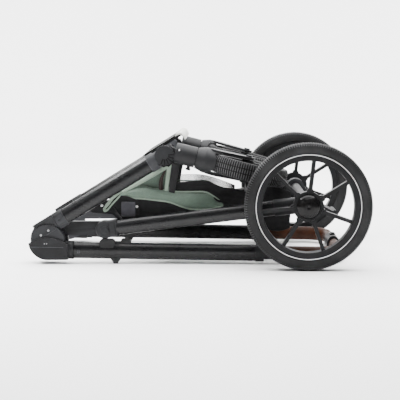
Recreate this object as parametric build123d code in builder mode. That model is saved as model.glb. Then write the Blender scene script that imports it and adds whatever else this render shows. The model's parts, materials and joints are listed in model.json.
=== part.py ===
from build123d import *
from math import asin, cos, degrees, pi, radians, sin
import os

os.makedirs("parts", exist_ok=True)

# A folded four-wheel stroller chassis, lying on its rear wheels and two small feet.
# +X is the way the chassis faces, +Z is up, and the right-hand side is towards -Y.
# The origin is on the floor, in the middle of the footprint.
# Every side piece is modelled on the right and mirrored to the left.

# ---------------------------------------------------------------- driving dimensions, mm
frame_half = 190  # from the middle to the centre plane of the leg and handlebar tubes
tube_wall = 2
turning_gap = 0.05  # radial clearance round a pin that turns
sliding_gap = 0.1  # clearance round a tube or button that slides
face_gap = 0.4  # between flat faces that pass each other

fold_x = -364.5  # main fold pivot
fold_z = 56
fold_disc = 41  # tongue of the handlebar, inside the clevis
fold_rim = 46.5  # outer edge of both castings, round the pivot
fold_pin = 6
fork_disc_gap = 1  # round the discs of the fold hinge
clevis_in = -30  # faces of the fold hinge, measured outwards from the tube plane
tongue_in = -16
tongue_out = 0.7
clevis_out = 15
clevis_cap = 12  # outer face of the clevis disc, below the leg's own face
cover_thick = 4
screw_spots = ((2, 25), (-16, 13.5))  # flush screws in the clevis, from the pivot
screw_r = 2.8
screw_deep = 8

leg_angle = 31.6  # front leg, seen from the right
leg_rise = 28.3  # leg centre line above the fold pivot, square to the leg
leg_height = 39
leg_width = 26
leg_start = 42  # along the leg from the fold pivot
leg_end = 327.3
elbow_at = 352.3

rear_pivot_x = -225
rear_pivot_z = 84
rear_pivot_y = 193
rear_pin = 5
rear_height = 36
rear_width = 24
axle_x = 261
axle_z = 150
rear_foot_y = 226  # rear leg centre where it meets the axle

bar_angle = -0.72  # handlebar tubes, almost level
bar_drop = 23  # handlebar centre line below the fold pivot
bar_height = 40
bar_width = 26
bar_start = 45
bar_end = 521.5
handle_height = 30
handle_width = 20
handle_start = 352
handle_end = 708.5
handle_corner = 60
grip_start = 553.5
grip_thick = 3
glue_gap = 0.05  # between the handle tube and the grips glued on it
housing_half = 40

rear_wheel_r = 150
rear_wheel_w = 48
rear_wheel_y = 280
rear_seat = 124
rear_spokes = 7
spoke_phase = 83.5
front_wheel_r = 102.5
front_wheel_w = 44
front_seat = 84
rear_axle_r = 6
front_axle_r = 5

swivel_x = -50  # top of the caster housing, on the swivel axis
swivel_z = 269.5
swivel_angle = -14
housing_r = 25
housing_end = 47
fork_start = 48.5
crown_r = 31
wheel_along = 172.6  # front wheel centre along the swivel axis
wheel_trail = 44
fork_gap = 2.7  # beside the tyre
stem_r = 6


def side_plane(x, z, angle=0, out=0):
    """A plane of the right-hand frame; its normal points out to the right."""
    turn = radians(angle)
    return Plane(origin=(x, -frame_half - out, z), x_dir=(cos(turn), 0, sin(turn)), z_dir=(0, -1, 0))


def cross_plane(point, angle):
    """A plane square to a tube that rises at the angle; its x runs along Y."""
    turn = radians(angle)
    return Plane(origin=point, x_dir=(0, 1, 0), z_dir=(cos(turn), 0, sin(turn)))


def profile_plane(wheel):
    """The plane of a wheel's section: x is the radius, y runs along the axle."""
    return Plane(origin=wheel.origin, x_dir=wheel.x_dir, z_dir=-wheel.y_dir)


def save(piece, name):
    piece.part.label = name
    export_step(piece.part, "parts/" + name + ".step")


def save_pair(right, name):
    """Writes a right-hand piece and its left-hand mirror image."""
    save(right, name + "_right")
    with BuildPart() as left:
        mirror(right.part, about=Plane.XZ)
    save(left, name + "_left")


def save_both_sides(right, name):
    """Writes a right-hand piece and its mirror image as one node."""
    with BuildPart() as both:
        add(right.part)
        mirror(right.part, about=Plane.XZ)
    save(both, name)


fold_side = side_plane(fold_x, fold_z)
leg_side = side_plane(fold_x, fold_z, leg_angle)
bar_side = side_plane(fold_x, fold_z, bar_angle)
swivel_side = side_plane(swivel_x, swivel_z, swivel_angle)


def leg_point(along, up=leg_rise, out=0):
    return leg_side.from_local_coords((along, up, out))


def bar_point(along, up=-bar_drop, out=0):
    return bar_side.from_local_coords((along, up, out))


def swivel_point(along, up=0, out=0):
    return swivel_side.from_local_coords((along, up, out))


rear_arm = fold_side.to_local_coords(Vector(rear_pivot_x, -frame_half, rear_pivot_z))
elbow = leg_point(elbow_at)
elbow_x = elbow.X
elbow_z = elbow.Z

# ---------------------------------------------------------------- front legs
with BuildPart() as front_leg:
    with BuildSketch(cross_plane(leg_point(leg_start), leg_angle)):
        Ellipse(leg_width / 2, leg_height / 2)
        Ellipse(leg_width / 2 - tube_wall, leg_height / 2 - tube_wall, mode=Mode.SUBTRACT)
    extrude(amount=leg_end - leg_start)
save_pair(front_leg, "front_leg")

# The leg's hinge casting: a clevis round the handlebar's tongue, a socket for the
# leg, and an arm that carries the rear leg's pivot.
socket_wall = 2
leg_socket = 24
body_back = -12  # where the leg's full-width body ends, behind the pivot
web_low = leg_rise - 12
arm_root_x = 18  # where the rear leg's arm leaves the disc, from the pivot
arm_root_z = 27
arm_half_height = 17
arm_thick = 13
web_high = leg_rise + leg_height / 2 + socket_wall
with BuildPart() as leg_hinge:
    with BuildSketch(side_plane(fold_x, fold_z, leg_angle, clevis_in)):
        with Locations(((leg_start + body_back) / 2, (web_low + web_high) / 2)):
            Rectangle(leg_start - body_back, web_high - web_low)
    extrude(amount=clevis_out - clevis_in)
    fillet(leg_hinge.edges().group_by(Axis.Y)[0], radius=2)
    with BuildSketch(side_plane(fold_x, fold_z, 0, clevis_in)):
        Circle(fold_disc + fork_disc_gap)
    extrude(amount=clevis_out - clevis_in, mode=Mode.SUBTRACT)
    with BuildSketch(side_plane(fold_x, fold_z, 0, clevis_in)):
        Circle(fold_rim)
    extrude(amount=tongue_in - face_gap - clevis_in)
    with BuildSketch(side_plane(fold_x, fold_z, 0, tongue_out + face_gap)):
        Circle(fold_disc - 1)
    extrude(amount=clevis_cap - tongue_out - face_gap)
    with BuildSketch(side_plane(fold_x, fold_z, leg_angle, tongue_out + face_gap)):
        with Locations((10, leg_rise - 3)):
            Rectangle(40, 20)
    extrude(amount=clevis_cap - tongue_out - face_gap - 1)
    with BuildSketch(cross_plane(leg_point(leg_start), leg_angle)):
        Ellipse(leg_width / 2 + socket_wall, leg_height / 2 + socket_wall)
    extrude(amount=leg_socket)
    with BuildSketch(side_plane(fold_x, fold_z, 0, clevis_in)):
        with Locations((arm_root_x, arm_root_z)):
            Circle(arm_half_height)
        with Locations((rear_arm.X, rear_arm.Y)):
            Circle(arm_half_height)
        make_hull()
    extrude(amount=arm_thick)
    with BuildSketch(side_plane(fold_x, fold_z, 0, clevis_in)):
        Circle(fold_pin)
        with Locations((rear_arm.X, rear_arm.Y)):
            Circle(rear_pin)
    extrude(amount=clevis_out - clevis_in, mode=Mode.SUBTRACT)
    with BuildSketch(cross_plane(leg_point(leg_start), leg_angle)):
        Ellipse(leg_width / 2, leg_height / 2)
    extrude(amount=leg_socket, mode=Mode.SUBTRACT)
    with BuildSketch(side_plane(fold_x, fold_z, 0, clevis_cap - screw_deep)):
        with Locations(*screw_spots):
            Circle(screw_r)
    extrude(amount=screw_deep, mode=Mode.SUBTRACT)
save_pair(leg_hinge, "leg_hinge")

with BuildPart() as fold_pin_right:
    with BuildSketch(side_plane(fold_x, fold_z, 0, clevis_in)):
        Circle(fold_pin)
    extrude(amount=clevis_cap - clevis_in)
save_both_sides(fold_pin_right, "fold_pins")

# Elbow: a socket on the leg's end, a boss for the cross tube and a clevis for the
# sprung caster arm.
elbow_disc = 19
elbow_half = 16
suspension_pin = 5
arm_half = 7
cross_r = 11
cross_at = 327.3
cross_up = 20.3
cross_seat = 16  # where the cross tube ends, inwards from the tube plane
with BuildPart() as front_elbow:
    with BuildSketch(cross_plane(leg_point(leg_end - 20), leg_angle)):
        Ellipse(leg_width / 2 + socket_wall + 0.5, leg_height / 2 + socket_wall + 0.5)
    extrude(amount=elbow_at - leg_end + 8)
    with BuildSketch(side_plane(elbow_x, elbow_z, 0, -elbow_half)):
        Circle(elbow_disc)
    extrude(amount=2 * elbow_half)
    with BuildSketch(side_plane(fold_x, fold_z, leg_angle, -cross_seat - 12)):
        with Locations((cross_at, cross_up)):
            Circle(cross_r + 3)
    extrude(amount=16)
    with BuildSketch(side_plane(elbow_x, elbow_z, leg_angle, -arm_half - face_gap)):
        with Locations((15, 0)):
            Rectangle(80, 3 * elbow_disc)
    extrude(amount=2 * (arm_half + face_gap), mode=Mode.SUBTRACT)
    with BuildSketch(side_plane(fold_x, fold_z, leg_angle, -cross_seat - 12)):
        with Locations((cross_at, cross_up)):
            Circle(cross_r)
    extrude(amount=12, mode=Mode.SUBTRACT)
    with BuildSketch(side_plane(elbow_x, elbow_z, 0, -elbow_half)):
        Circle(suspension_pin)
    extrude(amount=2 * elbow_half, mode=Mode.SUBTRACT)
    with BuildSketch(cross_plane(leg_point(leg_end - 20), leg_angle)):
        Ellipse(leg_width / 2, leg_height / 2)
    extrude(amount=20, mode=Mode.SUBTRACT)
save_pair(front_elbow, "front_elbow")

with BuildPart() as suspension_pin_right:
    with BuildSketch(side_plane(elbow_x, elbow_z, 0, -elbow_half)):
        Circle(suspension_pin)
    extrude(amount=2 * elbow_half)
save_both_sides(suspension_pin_right, "suspension_pins")

with BuildPart() as front_cross_tube:
    with BuildSketch(side_plane(fold_x, fold_z, leg_angle, -cross_seat)):
        with Locations((cross_at, cross_up)):
            Circle(cross_r)
            Circle(cross_r - tube_wall, mode=Mode.SUBTRACT)
    extrude(amount=-2 * (frame_half - cross_seat))
save(front_cross_tube, "front_cross_tube")

# ---------------------------------------------------------------- footboard on the cross tube
board_start = 301
board_end = 407
board_up = 46.3
board_thick = 4
board_half = 150
pad_thick = 3.5
with BuildPart() as footboard:
    with BuildSketch(side_plane(fold_x, fold_z, leg_angle, board_half - frame_half)):
        with Locations(((board_start + board_end) / 2, board_up + board_thick / 2)):
            Rectangle(board_end - board_start, board_thick)
    extrude(amount=-2 * board_half)
    for rib_y in (-70, 0, 70):
        with BuildSketch(side_plane(fold_x, fold_z, leg_angle, rib_y - 4 - frame_half)):
            with Locations((cross_at, (cross_up + board_up) / 2)):
                Rectangle(2 * cross_r + 8, board_up - cross_up)
        extrude(amount=8)
    with BuildSketch(side_plane(fold_x, fold_z, leg_angle, -cross_seat)):
        with Locations((cross_at, cross_up)):
            Circle(cross_r)
    extrude(amount=-2 * (frame_half - cross_seat), mode=Mode.SUBTRACT)
save(footboard, "footboard")

with BuildPart() as footboard_pad:
    with BuildSketch(side_plane(fold_x, fold_z, leg_angle, board_half - 3 - frame_half)):
        with Locations(((board_start + board_end) / 2, board_up + board_thick + pad_thick / 2)):
            Rectangle(board_end - board_start - 4, pad_thick)
    extrude(amount=-2 * (board_half - 3))
    fillet(footboard_pad.edges().filter_by(Axis.Y).sort_by(Axis.X)[-2:], radius=1.5)
save(footboard_pad, "footboard_pad")

# ---------------------------------------------------------------- casters, on sprung arms
housing_start = -5
arm_disc = 15
boot_gap = 0.6
with BuildPart() as swivel_housing:
    with BuildSketch(cross_plane(swivel_point(housing_start), swivel_angle)):
        Circle(housing_r)
    extrude(amount=housing_end - housing_start)
    fillet(swivel_housing.edges().filter_by(GeomType.CIRCLE).sort_by(Axis.X)[0], radius=4)
    with BuildSketch(side_plane(elbow_x, elbow_z, swivel_angle, -arm_half)):
        Circle(arm_disc)
        with Locations((15, 5)):
            Rectangle(30, 24)
    extrude(amount=2 * arm_half)
    with BuildSketch(side_plane(elbow_x, elbow_z, 0, -arm_half)):
        Circle(suspension_pin + turning_gap)
    extrude(amount=2 * arm_half, mode=Mode.SUBTRACT)
    with BuildSketch(cross_plane(swivel_point(housing_start + 3), swivel_angle)):
        Circle(stem_r + turning_gap)
    extrude(amount=housing_end - housing_start, mode=Mode.SUBTRACT)
    with BuildSketch(Plane(origin=swivel_point(35, -housing_r - 1), z_dir=swivel_side.y_dir)):
        Circle(4 + turning_gap)
    extrude(amount=11, mode=Mode.SUBTRACT)
save_pair(swivel_housing, "swivel_housing")

# Ribbed boot that closes the gap between the elbow's discs and the caster housing.
with BuildPart() as caster_boot:
    with BuildSketch(side_plane(elbow_x, elbow_z, swivel_angle, -elbow_half)):
        with Locations((10.5, 7)):
            RectangleRounded(22, 50, radius=5)
        Circle(elbow_disc + boot_gap, mode=Mode.SUBTRACT)
    extrude(amount=2 * elbow_half)
    with BuildSketch(side_plane(elbow_x, elbow_z, swivel_angle, -arm_half)):
        Circle(arm_disc)
        with Locations((15, 5)):
            Rectangle(30, 24)
    extrude(amount=2 * arm_half, mode=Mode.SUBTRACT)
save_pair(caster_boot, "caster_boot")

# Lock knob under the housing; it is pulled down to let the wheel swivel.
lock_depth = 8
lock_proud = 9
with BuildPart() as swivel_lock:
    with BuildSketch(Plane(origin=swivel_point(35, -housing_r - lock_proud), z_dir=swivel_side.y_dir)):
        Circle(4)
    extrude(amount=lock_proud + lock_depth)
    with BuildSketch(Plane(origin=swivel_point(35, -housing_r - lock_proud), z_dir=swivel_side.y_dir)):
        Circle(6)
    extrude(amount=5)
    fillet(swivel_lock.edges().filter_by(GeomType.CIRCLE).sort_by(Axis.Z)[0], radius=1.5)
save_pair(swivel_lock, "swivel_lock")

front_wheel = Plane(
    origin=swivel_point(wheel_along, 0, -wheel_trail),
    x_dir=swivel_side.x_dir,
    z_dir=swivel_side.y_dir,
)
fork_in = front_wheel_w / 2 + fork_gap
fork_out = crown_r
boss_r = 15
with BuildPart() as front_fork:
    with BuildSketch(cross_plane(swivel_point(fork_start), swivel_angle)):
        Circle(housing_r)
    with BuildSketch(cross_plane(swivel_point(fork_start + 20), swivel_angle)):
        Circle(crown_r)
    loft()
    with BuildSketch(cross_plane(swivel_point(fork_start + 20), swivel_angle)):
        Circle(crown_r)
    extrude(amount=40)
    with BuildSketch(front_wheel.offset(-fork_out)):
        with Locations((95 - wheel_along, -wheel_trail)):
            Circle(20)
        Circle(boss_r)
        make_hull()
    extrude(amount=2 * fork_out)
    with BuildSketch(front_wheel.offset(-fork_in)):
        Circle(front_wheel_r + 3.5)
    extrude(amount=2 * fork_in, mode=Mode.SUBTRACT)
    with BuildSketch(front_wheel.offset(-fork_out)):
        Circle(front_axle_r)
    extrude(amount=2 * fork_out, mode=Mode.SUBTRACT)
    with BuildSketch(cross_plane(swivel_point(fork_start), swivel_angle)):
        Circle(stem_r)
    extrude(amount=16, mode=Mode.SUBTRACT)
save_pair(front_fork, "front_fork")

with BuildPart() as swivel_stem:
    with BuildSketch(cross_plane(swivel_point(0), swivel_angle)):
        Circle(stem_r)
    extrude(amount=fork_start + 16)
save_pair(swivel_stem, "swivel_stem")

bolt_head = 4
with BuildPart() as front_axle:
    with BuildSketch(front_wheel.offset(-fork_out)):
        Circle(front_axle_r)
    extrude(amount=2 * fork_out)
    for face in (-fork_out - bolt_head, fork_out):
        with BuildSketch(front_wheel.offset(face)):
            Circle(8)
        extrude(amount=bolt_head)
save_pair(front_axle, "front_axle")


# ---------------------------------------------------------------- wheels
def make_tyre(wheel, outer, seat, width):
    """A tyre with a round crown, on the rim's seat."""
    half = width / 2
    with BuildPart() as tyre:
        with BuildSketch(profile_plane(wheel)):
            with BuildLine():
                crown = ThreePointArc((outer - 0.3 * width, -half), (outer, 0), (outer - 0.3 * width, half))
                Polyline(crown @ 1, (seat, 0.7 * half), (seat, -0.7 * half), crown @ 0)
            make_face()
        revolve(axis=Axis(wheel.origin, wheel.z_dir))
    return tyre


def make_rim(wheel, seat, width, hub_r, hub_in, hub_out, bearing_r, bearing_w, axle_r, web_r, spoke_w):
    """A one-piece rim: its ring, blade spokes, a lobed web and a hub for two bearings."""
    half = 0.35 * width
    ring_depth = 0.13 * seat
    with BuildPart() as rim:
        with BuildSketch(profile_plane(wheel)):
            with Locations((seat - ring_depth / 2, 0)):
                RectangleRounded(ring_depth, 2 * half, radius=2)
        revolve(axis=Axis(wheel.origin, wheel.z_dir))
        with BuildSketch(wheel.offset(hub_in)):
            Circle(hub_r)
        extrude(amount=hub_out - hub_in)
        with BuildSketch(wheel.offset(-half / 2)):
            Circle(web_r)
            with PolarLocations(web_r, rear_spokes, start_angle=spoke_phase):
                Circle(0.22 * web_r)
        extrude(amount=half)
        spoke_mid = (web_r + seat - ring_depth) / 2
        with BuildSketch(wheel.offset(-half / 2)):
            with PolarLocations(spoke_mid, rear_spokes, start_angle=spoke_phase):
                Rectangle(seat - ring_depth - web_r + 6, spoke_w)
        extrude(amount=1.2 * half)
        for low in (hub_in, hub_out - bearing_w):
            with BuildSketch(wheel.offset(low)):
                Circle(bearing_r)
            extrude(amount=bearing_w, mode=Mode.SUBTRACT)
        with BuildSketch(wheel.offset(hub_in)):
            Circle(axle_r + 1)
        extrude(amount=hub_out - hub_in, mode=Mode.SUBTRACT)
    return rim


def make_bearings(wheel, low_faces, bearing_r, bearing_w, axle_r):
    """Two ball bearings, each as one closed ring that turns on the axle."""
    with BuildPart() as bearings:
        for low in low_faces:
            with BuildSketch(wheel.offset(low)):
                Circle(bearing_r)
                Circle(axle_r + turning_gap, mode=Mode.SUBTRACT)
            extrude(amount=bearing_w)
    return bearings


front_hub = fork_in - 1.5
front_bearing_r = 11
front_bearing_w = 6
front_tyre = make_tyre(front_wheel, front_wheel_r, front_seat, front_wheel_w)
save_pair(front_tyre, "front_tyre")
front_rim = make_rim(front_wheel, front_seat, front_wheel_w, 15, -front_hub, front_hub,
                     front_bearing_r, front_bearing_w, front_axle_r, 26, 7)
save_pair(front_rim, "front_rim")
front_bearings = make_bearings(front_wheel, (-front_hub, front_hub - front_bearing_w),
                               front_bearing_r, front_bearing_w, front_axle_r)
save_pair(front_bearings, "front_bearings")

rear_wheel = Plane(origin=(axle_x, -rear_wheel_y, axle_z), x_dir=(1, 0, 0), z_dir=(0, -1, 0))
rear_hub_in = -rear_wheel_w / 2
rear_hub_out = 18
rear_bearing_r = 14
rear_bearing_w = 8
cap_r = 28
rear_tyre = make_tyre(rear_wheel, rear_wheel_r, rear_seat, rear_wheel_w)
save_pair(rear_tyre, "rear_tyre")
rear_rim = make_rim(rear_wheel, rear_seat, rear_wheel_w, 20, rear_hub_in, rear_hub_out,
                    rear_bearing_r, rear_bearing_w, rear_axle_r, 36, 8.5)
save_pair(rear_rim, "rear_rim")
rear_bearings = make_bearings(rear_wheel, (rear_hub_in, rear_hub_out - rear_bearing_w),
                              rear_bearing_r, rear_bearing_w, rear_axle_r)
save_pair(rear_bearings, "rear_bearings")

stub_end = 17
with BuildPart() as hub_cap:
    with BuildSketch(profile_plane(rear_wheel)):
        with BuildLine():
            dome = ThreePointArc((0, rear_hub_out + 7), (20, rear_hub_out + 4), (cap_r, rear_hub_out - 2))
            Polyline(dome @ 1, (cap_r, rear_hub_out - 5), (20, rear_hub_out - 5), (20, rear_hub_out),
                     (10, rear_hub_out), (10, rear_hub_out + 3), (0, rear_hub_out + 3), dome @ 0)
        make_face()
    revolve(axis=Axis(rear_wheel.origin, rear_wheel.z_dir))
save_pair(hub_cap, "hub_cap")

# ---------------------------------------------------------------- rear legs, from pivot to axle
rear_pivot = Vector(rear_pivot_x, -rear_pivot_y, rear_pivot_z)
axle_point = Vector(axle_x, -rear_foot_y, axle_z)
rear_way = (axle_point - rear_pivot).normalized()
rear_length = (axle_point - rear_pivot).length
rear_tube_start = 8
rear_tube_end = rear_length - 26
rear_socket = 2


def rear_section(along):
    """A plane square to the rear leg, its x nearly along Y."""
    return Plane(origin=rear_pivot + rear_way * along, x_dir=(0, 1, 0), z_dir=rear_way)


def pivot_plane(x, z, y_out):
    """A plane at a distance from the middle, facing out to the right."""
    return Plane(origin=(x, -y_out, z), x_dir=(1, 0, 0), z_dir=(0, -1, 0))


with BuildPart() as rear_leg:
    with BuildSketch(rear_section(rear_tube_start)):
        Ellipse(rear_width / 2, rear_height / 2)
        Ellipse(rear_width / 2 - tube_wall, rear_height / 2 - tube_wall, mode=Mode.SUBTRACT)
    extrude(amount=rear_tube_end - rear_tube_start)
save_pair(rear_leg, "rear_leg")

# Rounded connectors that hold the rear legs' upper ends on their pivots.
cap_half = 14
cap_long = 32
rear_tilt = degrees(asin(rear_way.Z))
with BuildPart() as rear_leg_cap:
    with BuildSketch(pivot_plane(rear_pivot_x, rear_pivot_z, rear_pivot_y - cap_half)):
        with Locations(Location((0, 0, 0), (0, 0, rear_tilt))):
            Circle(rear_height / 2 + 4)
            with Locations((cap_long / 2, 0)):
                Rectangle(cap_long, rear_height + 5)
    extrude(amount=2 * cap_half)
    fillet(rear_leg_cap.edges().group_by(Axis.Y)[0], radius=5)
    with BuildSketch(rear_section(rear_tube_start)):
        Ellipse(rear_width / 2, rear_height / 2)
    extrude(amount=cap_long + 10, mode=Mode.SUBTRACT)
    with BuildSketch(pivot_plane(rear_pivot_x, rear_pivot_z, rear_pivot_y - cap_half)):
        Circle(rear_pin + turning_gap)
    extrude(amount=2 * cap_half, mode=Mode.SUBTRACT)
save_both_sides(rear_leg_cap, "rear_leg_caps")

# Pivot pins of the rear legs, held in the arms of the leg hinges.
pin_reach = rear_pivot_y + cap_half + 1
arm_face = frame_half + clevis_in
with BuildPart() as rear_pivot_pin:
    with BuildSketch(pivot_plane(rear_pivot_x, rear_pivot_z, arm_face)):
        Circle(rear_pin)
    extrude(amount=pin_reach - arm_face)
    with BuildSketch(pivot_plane(rear_pivot_x, rear_pivot_z, pin_reach)):
        Circle(9)
    extrude(amount=2.5)
    fillet(rear_pivot_pin.edges().sort_by(Axis.Y)[0], radius=1.2)
save_both_sides(rear_pivot_pin, "rear_pivot_pins")

# Axle bracket: a socket for the leg and a barrel round the axle, with a lug for the brake.
barrel_r = 24
barrel_in = 206
barrel_out = 246
axle_tube_r = 12.5
axle_tube_end = 216
brake_angle = -27
brake_reach = 34
brake_bar_r = 4
brake_x = axle_x + brake_reach * cos(radians(brake_angle))
brake_z = axle_z + brake_reach * sin(radians(brake_angle))
with BuildPart() as axle_bracket:
    with BuildSketch(pivot_plane(axle_x, axle_z, barrel_in)):
        Circle(barrel_r)
    extrude(amount=barrel_out - barrel_in)
    with BuildSketch(rear_section(rear_tube_end - 52)):
        Ellipse(rear_width / 2 + rear_socket, rear_height / 2 + rear_socket)
    extrude(amount=62)
    with BuildSketch(pivot_plane(axle_x, axle_z, barrel_in + 8)):
        Circle(barrel_r - 6)
        with Locations((brake_x - axle_x, brake_z - axle_z)):
            Circle(9)
        make_hull()
    extrude(amount=14)
    with BuildSketch(rear_section(rear_tube_end - 52)):
        Ellipse(rear_width / 2, rear_height / 2)
    extrude(amount=52, mode=Mode.SUBTRACT)
    with BuildSketch(pivot_plane(axle_x, axle_z, barrel_in)):
        Circle(axle_tube_r)
    extrude(amount=axle_tube_end - barrel_in, mode=Mode.SUBTRACT)
    with BuildSketch(pivot_plane(axle_x, axle_z, barrel_in)):
        Circle(rear_axle_r)
    extrude(amount=barrel_out - barrel_in, mode=Mode.SUBTRACT)
    with BuildSketch(pivot_plane(brake_x, brake_z, barrel_in)):
        Circle(brake_bar_r + turning_gap)
    extrude(amount=barrel_out - barrel_in, mode=Mode.SUBTRACT)
save_pair(axle_bracket, "axle_bracket")

with BuildPart() as rear_axle_tube:
    with BuildSketch(pivot_plane(axle_x, axle_z, axle_tube_end)):
        Circle(axle_tube_r)
        Circle(axle_tube_r - tube_wall, mode=Mode.SUBTRACT)
    extrude(amount=-2 * axle_tube_end)
save(rear_axle_tube, "rear_axle_tube")

wheel_inner = rear_wheel_y + rear_hub_in
with BuildPart() as axle_stub:
    with BuildSketch(pivot_plane(axle_x, axle_z, axle_tube_end)):
        Circle(rear_axle_r)
    extrude(amount=rear_wheel_y + stub_end - axle_tube_end)
    with BuildSketch(pivot_plane(axle_x, axle_z, barrel_out)):
        Circle(rear_axle_r + 3)
    extrude(amount=wheel_inner - face_gap - barrel_out)
save_both_sides(axle_stub, "axle_stubs")

# Foot brake: a cross bar that turns in the brackets, with its pedal in the middle.
bar_half = barrel_out - 10
pedal_half = 45
with BuildPart() as brake_bar:
    with BuildSketch(pivot_plane(brake_x, brake_z, bar_half)):
        Circle(brake_bar_r)
    extrude(amount=-2 * bar_half)
save(brake_bar, "brake_bar")

with BuildPart() as brake_pedal:
    with BuildSketch(pivot_plane(brake_x, brake_z, pedal_half)):
        Circle(brake_bar_r + 4)
        with Locations(Location((0, 0, 0), (0, 0, brake_angle))):
            with Locations((30, 0)):
                Rectangle(60, 7)
            with Locations((60, 2)):
                Circle(6)
    extrude(amount=-2 * pedal_half)
    with BuildSketch(pivot_plane(brake_x, brake_z, pedal_half)):
        Circle(brake_bar_r)
    extrude(amount=-2 * pedal_half, mode=Mode.SUBTRACT)
save(brake_pedal, "brake_pedal")

# ---------------------------------------------------------------- handlebar, below the legs
# Its hinge casting: a tongue inside the clevis, a rounded body below the pivot and a
# cover plate that passes outside the clevis.
cover_side = -6.5  # where the cover's arc meets the castings' rim
cover_top = 9
cover_right = 50
body_left = 12
body_in = -15
body_out = clevis_out + face_gap
body_low = -bar_drop - bar_height / 2 - socket_wall
body_high = -bar_drop + bar_height / 2 + 1
bar_socket = 61.5
cover_reach = (fold_rim**2 - cover_side**2) ** 0.5

with BuildPart() as handlebar_hinge:
    with BuildSketch(side_plane(fold_x, fold_z, bar_angle, body_in)):
        with Locations(((body_left + cover_right) / 2, (body_low + body_high) / 2)):
            Rectangle(cover_right - body_left, body_high - body_low)
        Circle(fold_disc + fork_disc_gap, mode=Mode.SUBTRACT)
    extrude(amount=body_out - body_in)
    with BuildSketch(side_plane(fold_x, fold_z, 0, tongue_in)):
        Circle(fold_disc)
    extrude(amount=tongue_out - tongue_in)
    with BuildSketch(side_plane(fold_x, fold_z, bar_angle, body_in)):
        with Locations((body_left + 15, body_low + 10)):
            Rectangle(30, 20)
    extrude(amount=tongue_out - body_in)
    with BuildSketch(cross_plane(bar_point(bar_start - 3), bar_angle)):
        Ellipse(bar_width / 2 + socket_wall, bar_height / 2 + socket_wall)
    extrude(amount=bar_socket - bar_start + 3)
    with BuildSketch(side_plane(fold_x, fold_z, bar_angle, body_out)):
        with BuildLine():
            top = ThreePointArc((-cover_reach, cover_side), (0, cover_top), (cover_reach, cover_side))
            heel = ThreePointArc(top @ 0, (-fold_rim * cos(pi / 4), -fold_rim * sin(pi / 4)), (0, -fold_rim))
            Polyline(heel @ 1, (cover_right, body_low), (cover_right, cover_side), top @ 1)
        make_face()
    extrude(amount=cover_thick)
    fillet(handlebar_hinge.edges().group_by(Axis.Y)[0], radius=1.8)
    with BuildSketch(side_plane(fold_x, fold_z, 0, tongue_in)):
        Circle(fold_pin + turning_gap)
    extrude(amount=tongue_out - tongue_in, mode=Mode.SUBTRACT)
    with BuildSketch(cross_plane(bar_point(bar_start), bar_angle)):
        Ellipse(bar_width / 2, bar_height / 2)
    extrude(amount=bar_socket - bar_start, mode=Mode.SUBTRACT)
save_pair(handlebar_hinge, "handlebar_hinge")

with BuildPart() as handlebar_tube:
    with BuildSketch(cross_plane(bar_point(bar_start), bar_angle)):
        Ellipse(bar_width / 2, bar_height / 2)
        Ellipse(bar_width / 2 - tube_wall, bar_height / 2 - tube_wall, mode=Mode.SUBTRACT)
    extrude(amount=bar_end - bar_start)
save_pair(handlebar_tube, "handlebar_tube")

# Guide bushes in the ends of the handlebar tubes, each with a collar outside.
collar_long = 16
bush_long = 40
lip = 4
with BuildPart() as telescope_collar:
    with BuildSketch(cross_plane(bar_point(bar_end - bush_long), bar_angle)):
        Ellipse(bar_width / 2 - tube_wall, bar_height / 2 - tube_wall)
    extrude(amount=bush_long)
    with BuildSketch(cross_plane(bar_point(bar_end - collar_long), bar_angle)):
        Ellipse(bar_width / 2 + 1.5, bar_height / 2 + 1.5)
        Ellipse(bar_width / 2, bar_height / 2, mode=Mode.SUBTRACT)
    extrude(amount=collar_long)
    with BuildSketch(cross_plane(bar_point(bar_end), bar_angle)):
        Ellipse(bar_width / 2 + 1.5, bar_height / 2 + 1.5)
    extrude(amount=lip)
    with BuildSketch(cross_plane(bar_point(bar_end - bush_long), bar_angle)):
        Ellipse(handle_width / 2 + sliding_gap, handle_height / 2 + sliding_gap)
    extrude(amount=bush_long + lip, mode=Mode.SUBTRACT)
save_both_sides(telescope_collar, "telescope_collars")

# Stowage tabs on the handlebar tubes, under the rear legs' connectors.
tab_at = 145.5
tab_point = bar_point(tab_at)
with BuildPart() as stow_tab:
    with BuildSketch(pivot_plane(tab_point.X, tab_point.Z, frame_half)):
        with Locations((0, 19)):
            RectangleRounded(38, 22, radius=9)
    extrude(amount=bar_width / 2 + 3.5)
    with BuildSketch(pivot_plane(tab_point.X, tab_point.Z, frame_half - 6)):
        with Locations((45, 22)):
            RectangleRounded(24, 16, radius=5)
        with Locations((20, 18)):
            Rectangle(40, 9)
    extrude(amount=12)
    with BuildSketch(cross_plane(bar_point(tab_at - 40), bar_angle)):
        Ellipse(bar_width / 2, bar_height / 2)
    extrude(amount=120, mode=Mode.SUBTRACT)
save_both_sides(stow_tab, "stow_tabs")

foot_half = 9
foot_at = 165.5
foot_point = bar_point(foot_at)
foot_top = foot_point.Z - bar_height / 2 + 6
with BuildPart() as floor_foot:
    with BuildSketch(pivot_plane(foot_point.X, 0, frame_half - foot_half)):
        Polygon((-15, foot_top), (-5, 0), (5, 0), (15, foot_top), align=None)
    extrude(amount=2 * foot_half)
    with BuildSketch(cross_plane(bar_point(foot_at - 30), bar_angle)):
        Ellipse(bar_width / 2, bar_height / 2)
    extrude(amount=60, mode=Mode.SUBTRACT)
save_both_sides(floor_foot, "floor_feet")

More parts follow.
